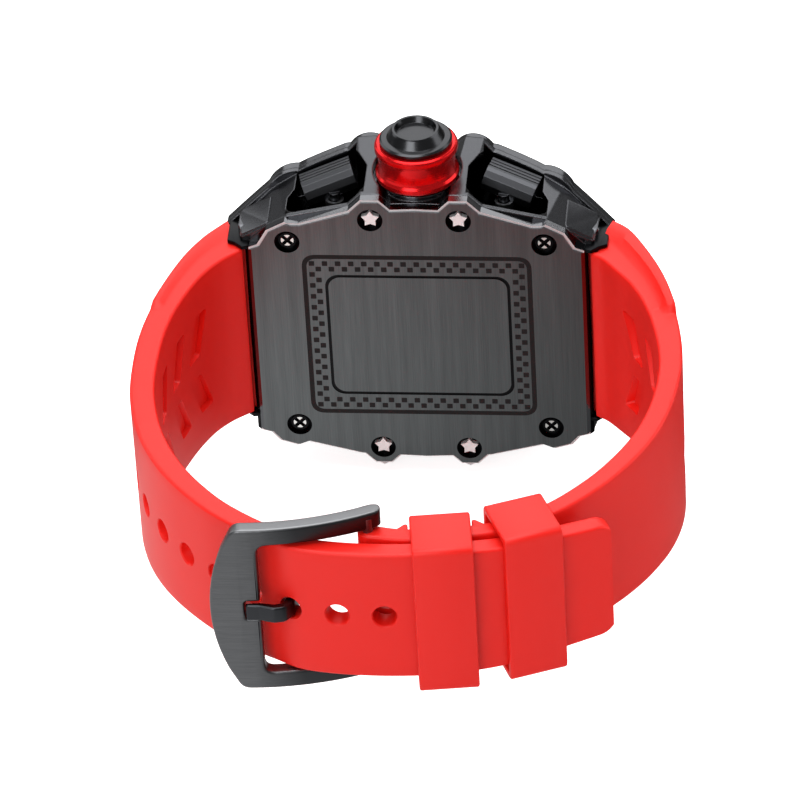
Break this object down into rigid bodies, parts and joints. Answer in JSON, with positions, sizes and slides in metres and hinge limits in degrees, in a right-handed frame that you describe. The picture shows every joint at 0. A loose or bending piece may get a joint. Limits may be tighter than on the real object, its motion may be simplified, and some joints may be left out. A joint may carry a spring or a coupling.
{
  "type": "chronograph wristwatch",
  "caption": "Barrel-shaped quartz chronograph with a screwed back, crown, two pushers and a two-part rubber strap closed by a tang buckle.",
  "frame": {"origin": "centre of the case back's flat outer face", "axes": "+X towards 12 o'clock, +Y from the case back towards the dial, +Z towards the crown at 3 o'clock"},
  "size_m": [0.0693, 0.0766, 0.05],
  "materials": {
    "case_shell": "hard-coated black, glossy",
    "back_plate": "brushed grey",
    "screw_steel": "turned bright",
    "seal_rubber": "moulded matt",
    "crystal_glass": "polished clear",
    "dial_black": "matt lacquer",
    "dial_metal": "polished",
    "dial_red": "lacquered",
    "spacer_plastic": "moulded",
    "movement_brass": "plated, grained",
    "movement_steel": "grained",
    "coil_wire": "lacquered copper wire",
    "board_green": "solder mask",
    "crown_red": "anodised, glossy",
    "crown_black": "hard-coated black, polished",
    "strap_red": "moulded silicone, satin",
    "buckle_grey": "dark satin coated steel"
  },
  "bodies": {
    "case": {"case_middle": "case_shell", "case_back": "back_plate", "back_gasket": "seal_rubber", "back_cross_screws": "screw_steel", "back_star_screws": "screw_steel", "bezel": "case_shell", "bezel_screws": "screw_steel", "crystal": "crystal_glass", "crystal_gasket": "seal_rubber", "dial_ring": "dial_black", "dial": "dial_black", "hour_markers": "dial_metal", "subdial_rings": "dial_red", "movement_ring": "spacer_plastic", "main_plate": "movement_brass", "train_bridge": "movement_steel", "battery": "movement_steel", "battery_clamp": "movement_brass", "drive_coil": "coil_wire", "circuit_board": "board_green", "movement_screws": "screw_steel", "crown_tube": "movement_steel", "pusher_tubes": "movement_steel", "start_spring": "movement_steel", "reset_spring": "movement_steel", "strap_bars": "movement_steel", "strap_buckle_half": "strap_red", "strap_hole_half": "strap_red", "keeper_fixed": "strap_red", "buckle_bar": "movement_steel"},
    "setting_slide": {"setting_lever": "movement_steel"},
    "crown": {"crown_cap": "crown_black", "crown_ring": "crown_red", "crown_gasket": "seal_rubber", "winding_stem": "movement_steel"},
    "start_pusher": {"pusher_start": "crown_black", "start_clip": "movement_steel"},
    "reset_pusher": {"pusher_reset": "crown_black", "reset_clip": "movement_steel"},
    "minute": {"minute_hand": "dial_metal", "cannon_pinion": "movement_brass"},
    "hour": {"hour_hand": "dial_metal", "hour_wheel": "movement_brass"},
    "day_night": {"day_night_hand": "dial_metal"},
    "chrono_seconds": {"chrono_seconds_hand": "dial_red"},
    "chrono_minutes": {"chrono_minute_hand": "dial_metal"},
    "small_seconds": {"small_seconds_hand": "dial_metal"},
    "buckle": {"buckle_frame": "buckle_grey"},
    "tang": {"buckle_tang": "buckle_grey"},
    "free_keeper": {"keeper_free": "strap_red"}
  },
  "joints": [
    {"name": "crown_pull", "type": "slide", "parent": "case", "child": "setting_slide", "axis": [0, 0, 1], "range_m": [0, 0.0012]},
    {"name": "crown_turn", "type": "hinge", "parent": "setting_slide", "child": "crown", "pos_m": [0, 0.0069, 0.0211], "axis": [0, 0, 1], "continuous": true},
    {"name": "start_press", "type": "slide", "parent": "case", "child": "start_pusher", "axis": [0, 0, -1], "range_m": [0, 0.0008], "stiffness_N_per_m": 400, "deforming": ["start_spring"]},
    {"name": "reset_press", "type": "slide", "parent": "case", "child": "reset_pusher", "axis": [0, 0, -1], "range_m": [0, 0.0008], "stiffness_N_per_m": 400, "deforming": ["reset_spring"]},
    {"name": "minute_turn", "type": "hinge", "parent": "case", "child": "minute", "pos_m": [0, 0.01, 0], "axis": [0, -1, 0], "continuous": true},
    {"name": "hour_turn", "type": "hinge", "parent": "case", "child": "hour", "pos_m": [0, 0.0095, 0], "axis": [0, -1, 0], "continuous": true},
    {"name": "day_night_turn", "type": "hinge", "parent": "case", "child": "day_night", "pos_m": [0, 0.0091, -0.0076], "axis": [0, -1, 0], "continuous": true},
    {"name": "chrono_seconds_turn", "type": "hinge", "parent": "case", "child": "chrono_seconds", "pos_m": [0, 0.0105, 0], "axis": [0, -1, 0], "continuous": true},
    {"name": "chrono_minutes_turn", "type": "hinge", "parent": "case", "child": "chrono_minutes", "pos_m": [0, 0.0091, 0.0076], "axis": [0, -1, 0], "continuous": true},
    {"name": "small_seconds_turn", "type": "hinge", "parent": "case", "child": "small_seconds", "pos_m": [-0.0076, 0.0091, 0], "axis": [0, -1, 0], "continuous": true},
    {"name": "buckle_swing", "type": "hinge", "parent": "case", "child": "buckle", "pos_m": [-0.0011, -0.0549, 0], "axis": [0, 0, 1], "range_deg": [0, 1.5]},
    {"name": "tang_swing", "type": "hinge", "parent": "buckle", "child": "tang", "pos_m": [-0.0011, -0.0549, 0], "axis": [0, 0, 1], "range_deg": [0, 1]},
    {"name": "keeper_slide", "type": "hinge", "parent": "case", "child": "free_keeper", "pos_m": [0.00411, -0.02225, 0], "axis": [0, 0, 1], "range_deg": [-1, 1]}
  ],
  "couplings": [
    {"joint": "minute_turn", "follows": "crown_turn", "ratio": 1},
    {"joint": "hour_turn", "follows": "crown_turn", "ratio": 0.083333},
    {"joint": "day_night_turn", "follows": "crown_turn", "ratio": 0.041667},
    {"joint": "chrono_minutes_turn", "follows": "chrono_seconds_turn", "ratio": 0.016667}
  ]
}
